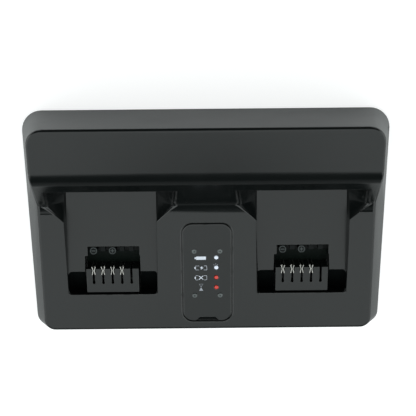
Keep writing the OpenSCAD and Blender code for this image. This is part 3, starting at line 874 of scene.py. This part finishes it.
def cross_head_screw(head, head_height, shank, length):
    """A pan-head screw with a cross recess, its head's top at the origin. Sizes are radii and heights in metres."""
    chamfer, dome = shank * 0.4, head_height * 0.35
    width, reach, depth, taper = head * 0.26, head * 0.42, head_height * 0.75, 0.6
    piece = start("cylinder", vertices=36, radius=head, depth=head_height, location=(0, 0, -head_height / 2))
    choose(piece, "faces", face_down)
    bpy.ops.mesh.inset(thickness=head - shank)
    extrude(z=head_height - length)
    choose(piece, "edges", edge_at(-length))
    bpy.ops.mesh.bevel(offset=chamfer, segments=2, affect="EDGES")
    choose(piece, "edges", edge_at(0))
    bpy.ops.mesh.bevel(offset=dome, segments=3, affect="EDGES")
    cutter = start("cube", size=1, scale=(width, width, 2 * depth))
    draw_arms(cutter, "faces", reach)
    choose(cutter, "verts", lambda vert: vert.co.z < 0)
    bpy.ops.transform.resize(value=(taper, taper, 1), center_override=(0, 0, -depth))
    apply_modifier(piece, "BOOLEAN", operation="DIFFERENCE", object=cutter, solver="EXACT")
    bpy.data.objects.remove(cutter)
    smooth(piece, angle=math.radians(35))
    return piece


class CHARGER_OT_screws(bpy.types.Operator):
    """Models the cross-head screws of the panel and the housing, and coats the ones inside"""

    bl_idname = "charger.screws"
    bl_label = "Screws"

    def execute(self, context):
        finish = context.scene.charger_fittings
        dark = metal("panel_screw_steel", finish.panel_screw, 0.38)
        zinc = metal("zinc_plating", finish.zinc, 0.3)
        # Like screws stop at different angles, each turned on by a step from the one before
        length, start_angle, step = 4.5 * MM, 0.4, 0.7
        model = cross_head_screw(head=2.1 * MM, head_height=1 * MM, shank=1 * MM, length=length)
        places = [
            Matrix.Translation((low + high) / 2) @ ON_DECK
            @ Matrix.Translation((0, 0, length / 2)) @ Matrix.Rotation(start_angle + step * number, 4, "Z")
            for number, (low, high) in enumerate(bodies_of("panel_screws"))]
        self.set_in(model, places, "panel_screw", dark, "panel_screws")
        low, high = bodies_of("housing_screws")[0]
        start_angle, step = 0.3, 0.9
        model = cross_head_screw(head=3.5 * MM, head_height=1.3 * MM, shank=1.6 * MM, length=high.z - low.z)
        places = [
            Matrix.Translation(((low.x + high.x) / 2, (low.y + high.y) / 2, low.z))
            @ Matrix.Rotation(math.pi, 4, "X") @ Matrix.Rotation(start_angle + step * number, 4, "Z")
            for number, (low, high) in enumerate(bodies_of("housing_screws"))]
        self.set_in(model, places, "housing_screw", zinc, "housing_screws")
        coat("board_screws", zinc)
        return {"FINISHED"}

    def set_in(self, model, places, name, material, node):
        names = [f"{name}_{number}" for number in range(1, len(places) + 1)]
        for piece in copies(model, places, names):
            settle(piece, piece.name, material, node)


class CHARGER_OT_feet(bpy.types.Operator):
    """Models one rubber foot and sets four under the base"""

    bl_idname = "charger.feet"
    bl_label = "Rubber feet"

    def execute(self, context):
        colour = context.scene.charger_fittings.rubber
        rubber = Finish("foot_rubber")
        fine = rubber.noise(0.4 * MM, detail=4.0)
        dust = rubber.noise(4 * MM, detail=3.0, seed=5.0).eased(0.5, 0.8)
        rubber.feed(
            Base_Color=rubber.mixed(dust * 0.5, shade(colour), shade(colour, 2.0)),
            Roughness=0.78 + (fine - 0.5) * 0.12,
            Normal=rubber.bump(fine, 0.02 * MM))
        boxes = bodies_of("rubber_feet")
        low, high = boxes[0]
        radius, height = (high.x - low.x) / 2, high.z - low.z
        rounding, rim, slant, dish = 1 * MM, 2 * MM, 0.3 * MM, 0.4 * MM
        foot = start("cylinder", vertices=48, radius=radius, depth=height, location=(0, 0, height / 2))
        choose(foot, "edges", edge_at(0))
        bpy.ops.mesh.bevel(offset=rounding, segments=4, affect="EDGES")
        choose(foot, "faces", face_down)
        bpy.ops.mesh.inset(thickness=rim)
        bpy.ops.mesh.inset(thickness=slant, depth=-dish)
        smooth(foot)
        places = [Matrix.Translation(((a.x + b.x) / 2, (a.y + b.y) / 2, a.z)) for a, b in boxes]
        for piece in copies(foot, places, [f"rubber_foot_{number}" for number in range(1, 5)]):
            settle(piece, piece.name, rubber.material, "rubber_feet")
        return {"FINISHED"}


# ---------- mains inlet ----------


class CHARGER_OT_inlet(bpy.types.Operator):
    """Finishes the mains inlet and its pins and wires"""

    bl_idname = "charger.inlet"
    bl_label = "Mains inlet"

    def execute(self, context):
        plastic = moulded("inlet_plastic", (0.013, 0.013, 0.014), 0.42, grain=0.3 * MM)
        nickel = metal("pin_nickel", (0.78, 0.77, 0.74), 0.22, streak=(0.2, 1, 1))
        wire = translucent("wire_dark", (0.016, 0.016, 0.02), 0.42)
        moulding_from("inlet_socket", "inlet_shell", plastic, edge=0.3 * MM)
        moulding_from("inlet_pins", "inlet_pin_pair", nickel, edge=0.45 * MM)
        coat("inlet_wires", wire)
        coat("indicator_wires", wire)
        return {"FINISHED"}


# ---------- power supply ----------


def transformer_finish():
    """Ferrite core halves round a taped winding, on a black bobbin."""
    finish = Finish("transformer_finish")
    low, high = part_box("transformer")
    centre = middle("transformer")
    x, y, z = finish.axes(finish.place())
    aside = x - centre.x
    deep = y - centre.y
    winding_radius, winding_foot, winding_top, bobbin_height, tape_step = 11.2 * MM, 12 * MM, 8 * MM, 4 * MM, 4 * MM
    in_winding = (aside * aside + deep * deep) < winding_radius ** 2
    tape = in_winding * (z > low.z + winding_foot) * (z < high.z - winding_top)
    bobbin = z < low.z + bobbin_height
    grain = finish.noise(0.5 * MM, detail=4.0)
    lap = (z * (2 * math.pi / tape_step)).sine() * 0.5 + 0.5
    ferrite = finish.mixed(grain, (0.035, 0.036, 0.038, 1), (0.06, 0.06, 0.062, 1))
    wound = finish.mixed(lap, (0.62, 0.42, 0.04, 1), (0.75, 0.55, 0.07, 1))
    return finish.feed(
        Base_Color=finish.mixed(bobbin, finish.mixed(tape, ferrite, wound), BLACK),
        Roughness=0.6 - tape * 0.25 + (grain - 0.5) * 0.1,
        Normal=finish.bump(grain * 0.4 + tape * lap, 0.04 * MM))


def choke_finish():
    """Enamelled wire wound round a ring, on a black foot."""
    finish = Finish("choke_finish")
    centre = middle("common_mode_choke")
    x, y, z = finish.axes(finish.place())
    foot_height, turns_round = 2.9 * MM, 40
    angle = x.maths("ARCTAN2", y - centre.y, x - centre.x)
    turns = (angle * turns_round).sine() * 0.5 + 0.5
    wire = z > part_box("common_mode_choke")[0].z + foot_height
    copper = finish.mixed(turns, (0.22, 0.06, 0.02, 1), (0.62, 0.24, 0.09, 1))
    return finish.feed(
        Base_Color=finish.mixed(wire, BLACK, copper),
        Metallic=wire * 0.9,
        Roughness=0.5 - wire * 0.2,
        Normal=finish.bump(turns * wire, 0.25 * MM))


def capacitor_finish(node):
    """A dark blue shrunk sleeve under an aluminium top."""
    finish = Finish(f"{node}_finish")
    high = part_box(node)[1]
    z = finish.axes(finish.place())[2]
    lid = 0.3 * MM
    top = z > high.z - lid
    ripple = finish.noise(3 * MM, detail=3.0, stretch=(1, 1, 0.3))
    sleeve = finish.mixed(ripple, (0.008, 0.01, 0.035, 1), (0.014, 0.018, 0.055, 1))
    return finish.feed(
        Base_Color=finish.mixed(top, sleeve, (0.7, 0.7, 0.7, 1)),
        Metallic=top,
        Roughness=0.28 + (ripple - 0.5) * 0.1,
        Normal=finish.bump(ripple, 0.05 * MM))


def fuse_finish():
    """A glass tube between two nickel caps."""
    finish = Finish("fuse_finish")
    low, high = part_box("fuse")
    y = finish.axes(finish.place())[1]
    cap_length = 5 * MM
    cap = abs(y - (low.y + high.y) / 2) > (high.y - low.y) / 2 - cap_length
    smear = finish.noise(2 * MM, detail=3.0)
    return finish.feed(
        Base_Color=finish.mixed(cap, (0.75, 0.8, 0.8, 1), (0.72, 0.71, 0.68, 1)),
        Metallic=cap,
        Roughness=0.08 + cap * 0.2 + smear * 0.06,
        Normal=finish.bump(smear, 0.005 * MM))


def transistor_finish():
    """Black epoxy packages on tinned legs."""
    finish = Finish("transistor_finish")
    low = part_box("power_transistors")[0]
    z = finish.axes(finish.place())[2]
    leg_length = 6 * MM
    leg = z < low.z + leg_length
    grain = finish.noise(0.3 * MM, detail=4.0)
    epoxy = finish.mixed(grain, BLACK, (0.022, 0.022, 0.022, 1))
    return finish.feed(
        Base_Color=finish.mixed(leg, epoxy, (0.7, 0.69, 0.66, 1)),
        Metallic=leg,
        Roughness=0.55 - leg * 0.25 + (grain - 0.5) * 0.1,
        Normal=finish.bump(grain, 0.01 * MM))


class CHARGER_OT_supply(bpy.types.Operator):
    """Coats the parts of the power supply"""

    bl_idname = "charger.supply"
    bl_label = "Power supply"

    def execute(self, context):
        coat("power_board", circuit_board("power_board_finish", GREEN_MASK, GREEN_TRACKS))
        coat("transformer", transformer_finish())
        coat("common_mode_choke", choke_finish())
        coat("mains_capacitor", moulded("film_capacitor", (0.62, 0.42, 0.04), 0.3, grain=1.5 * MM))
        coat("bulk_capacitor", capacitor_finish("bulk_capacitor"))
        coat("output_capacitors", capacitor_finish("output_capacitors"))
        coat("bridge_rectifier", moulded("rectifier_epoxy", (0.015, 0.015, 0.015), 0.55, grain=0.3 * MM))
        coat("fuse", fuse_finish())
        coat("heat_sink", metal("heat_sink_aluminium", (0.66, 0.66, 0.67), 0.34, streak=(1, 1, 0.05)))
        coat("power_transistors", transistor_finish())
        return {"FINISHED"}


# ---------- studio ----------


class StudioSetup(bpy.types.PropertyGroup):
    lens: bpy.props.FloatProperty(
        name="Lens", description="Focal length on a 36 mm sensor", default=112.4, min=20, unit="CAMERA")
    camera_height: bpy.props.FloatProperty(
        name="Camera height", description="Height of the camera over the floor", default=1.096, unit="LENGTH")
    camera_back: bpy.props.FloatProperty(
        name="Camera place", description="How far behind the charger's middle the camera stands",
        default=0.2492, unit="LENGTH")
    camera_side: bpy.props.FloatProperty(
        name="Camera side", description="How far to the right the camera stands", default=0.00125, unit="LENGTH")
    tilt: bpy.props.FloatProperty(
        name="Tilt", description="Turn of the camera from straight down",
        default=math.radians(-12.4), subtype="ANGLE")
    roll: bpy.props.FloatProperty(
        name="Roll", description="Turn of the camera about its own view", default=math.radians(-0.55), subtype="ANGLE")
    sky: bpy.props.FloatProperty(
        name="Sky", description="Level of the soft light from above", default=1.66, min=0)
    shade: bpy.props.FloatProperty(
        name="Shade", description="Level of the dim side of the room, low down in front", default=0.03, min=0)
    tint: bpy.props.FloatVectorProperty(
        name="Tint", description="Colour of the soft light", subtype="COLOR", default=(0.94, 1.0, 0.995))
    strips: bpy.props.FloatProperty(
        name="Side lights", description="Level of the low soft lights on both sides", default=1.5, min=0)
    dim_front: bpy.props.FloatProperty(
        name="Dim front", description="Where the floor turns dim in front", default=-0.15, unit="LENGTH")


class CHARGER_OT_studio(bpy.types.Operator):
    """Lays the floor, lights the studio and sets up the camera"""

    bl_idname = "charger.studio"
    bl_label = "Studio"

    def execute(self, context):
        setup = context.scene.charger_studio
        self.lay_floor(setup)
        self.light(context, setup)
        data = bpy.data.cameras.new("camera")
        data.lens = setup.lens
        data.sensor_width = 36
        data.clip_end = 20
        camera = bpy.data.objects.new("camera", data)
        context.scene.collection.objects.link(camera)
        aim = Matrix.Rotation(setup.tilt, 4, "X") @ Matrix.Rotation(setup.roll, 4, "Z")
        camera.matrix_world = Matrix.Translation(
            (setup.camera_side, setup.camera_back, setup.camera_height)) @ aim
        context.scene.camera = camera
        context.scene.view_settings.view_transform = "Standard"
        return {"FINISHED"}

    def lay_floor(self, setup):
        """A pale floor that shows as white, with the object's shadow on it. Reflections find it dim in front."""
        floor = start("plane", size=12)
        floor.name = "floor"
        white, dim, soft_edge, side_edge = (1, 1, 1), 0.13, 0.02, (0.15, 0.3)
        paper = Finish("studio_paper", Roughness=0.9, Emission_Strength=0.68)
        x, y, _ = paper.axes(paper.place())
        front = 1 - y.eased(setup.dim_front - soft_edge, setup.dim_front + soft_edge)
        pale = paper.mixed(paper.noise(0.4, seed=1.0), shade(white, 0.43), shade(white, 0.47))
        glow = paper.mixed(front, shade(white), shade(white, 1.5))
        beside = abs(x).eased(*side_edge) * 0.85 + 0.05
        rays = [paper.node("LightPath", {}, {}, f"Is {kind} Ray") for kind in ("Camera", "Glossy", "Transmission")]
        seen = rays[0].at_least((rays[1] + rays[2]) * beside * (1 - front))
        paper.feed(
            Base_Color=paper.mixed(front, pale, shade(white, dim)),
            Emission_Color=paper.mixed(seen, (0, 0, 0, 1), glow))
        floor.data.materials.append(paper.material)

    def light(self, context, setup):
        """A soft light overhead, dim low down in front and behind, and low soft lights on both sides.

        The camera sees plain white instead.
        """
        front_edge, rear_edge = (-0.718, -0.675), (0.15, 0.4)
        strip_side, strip_foot, strip_top = (0.8, 0.9), (0, 0.05), (0.3, 0.4)
        world = bpy.data.worlds.new("studio")
        context.scene.world = world
        world.use_nodes = True
        sky = Nodes(world.node_tree)
        x, y, z = sky.axes(sky.node("TexCoord", {}, {}, "Generated"))
        aside = (abs(x) * 0.8).at_most(0.12)
        over = (y + aside).eased(*front_edge) * (1 - (y - aside).eased(*rear_edge)) * (z > 0)
        beside = abs(x).eased(*strip_side) * z.eased(*strip_foot) * (1 - z.eased(*strip_top))
        level = over * (setup.sky - setup.shade) + setup.shade + beside * setup.strips
        camera = sky.node("LightPath", {}, {}, "Is Camera Ray")
        level = level + camera * (1 - level)
        colour = sky.mixed(camera, shade(setup.tint), (1, 1, 1, 1))
        glow = sky.node("Background", {}, {"Color": colour, "Strength": level})
        sky.node("OutputWorld", {}, {"Surface": glow})


GROUPS = {
    "charger_housing": HousingFinish,
    "charger_panel": PanelFinish,
    "charger_terminals": TerminalFinish,
    "charger_fittings": FittingFinish,
    "charger_studio": StudioSetup,
}
OPERATORS = [
    CHARGER_OT_housing, CHARGER_OT_panel, CHARGER_OT_signs, CHARGER_OT_lights, CHARGER_OT_terminals,
    CHARGER_OT_polarity, CHARGER_OT_screws, CHARGER_OT_feet, CHARGER_OT_inlet, CHARGER_OT_supply,
    CHARGER_OT_studio,
]


class CHARGER_PT_sidebar(bpy.types.Panel):
    bl_label = "Charger"
    bl_idname = "CHARGER_PT_sidebar"
    bl_space_type = "VIEW_3D"
    bl_region_type = "UI"
    bl_category = "Charger"

    def draw(self, context):
        for operator in OPERATORS:
            self.layout.operator(operator.bl_idname)
        for name, group in GROUPS.items():
            box = self.layout.box()
            for key in group.__annotations__:
                box.prop(getattr(context.scene, name), key)


def register():
    for kind in [*GROUPS.values(), *OPERATORS, CHARGER_PT_sidebar]:
        bpy.utils.register_class(kind)
    for name, group in GROUPS.items():
        setattr(bpy.types.Scene, name, bpy.props.PointerProperty(type=group))


def unregister():
    for name in GROUPS:
        delattr(bpy.types.Scene, name)
    for kind in [CHARGER_PT_sidebar, *OPERATORS[::-1], *list(GROUPS.values())[::-1]]:
        bpy.utils.unregister_class(kind)


def main():
    register()
    bpy.ops.charger.housing()
    bpy.ops.charger.panel()
    bpy.ops.charger.signs()
    bpy.ops.charger.lights()
    bpy.ops.charger.terminals()
    bpy.ops.charger.polarity()
    bpy.ops.charger.screws()
    bpy.ops.charger.feet()
    bpy.ops.charger.inlet()
    bpy.ops.charger.supply()
    bpy.ops.charger.studio()


if __name__ == "__main__":
    main()
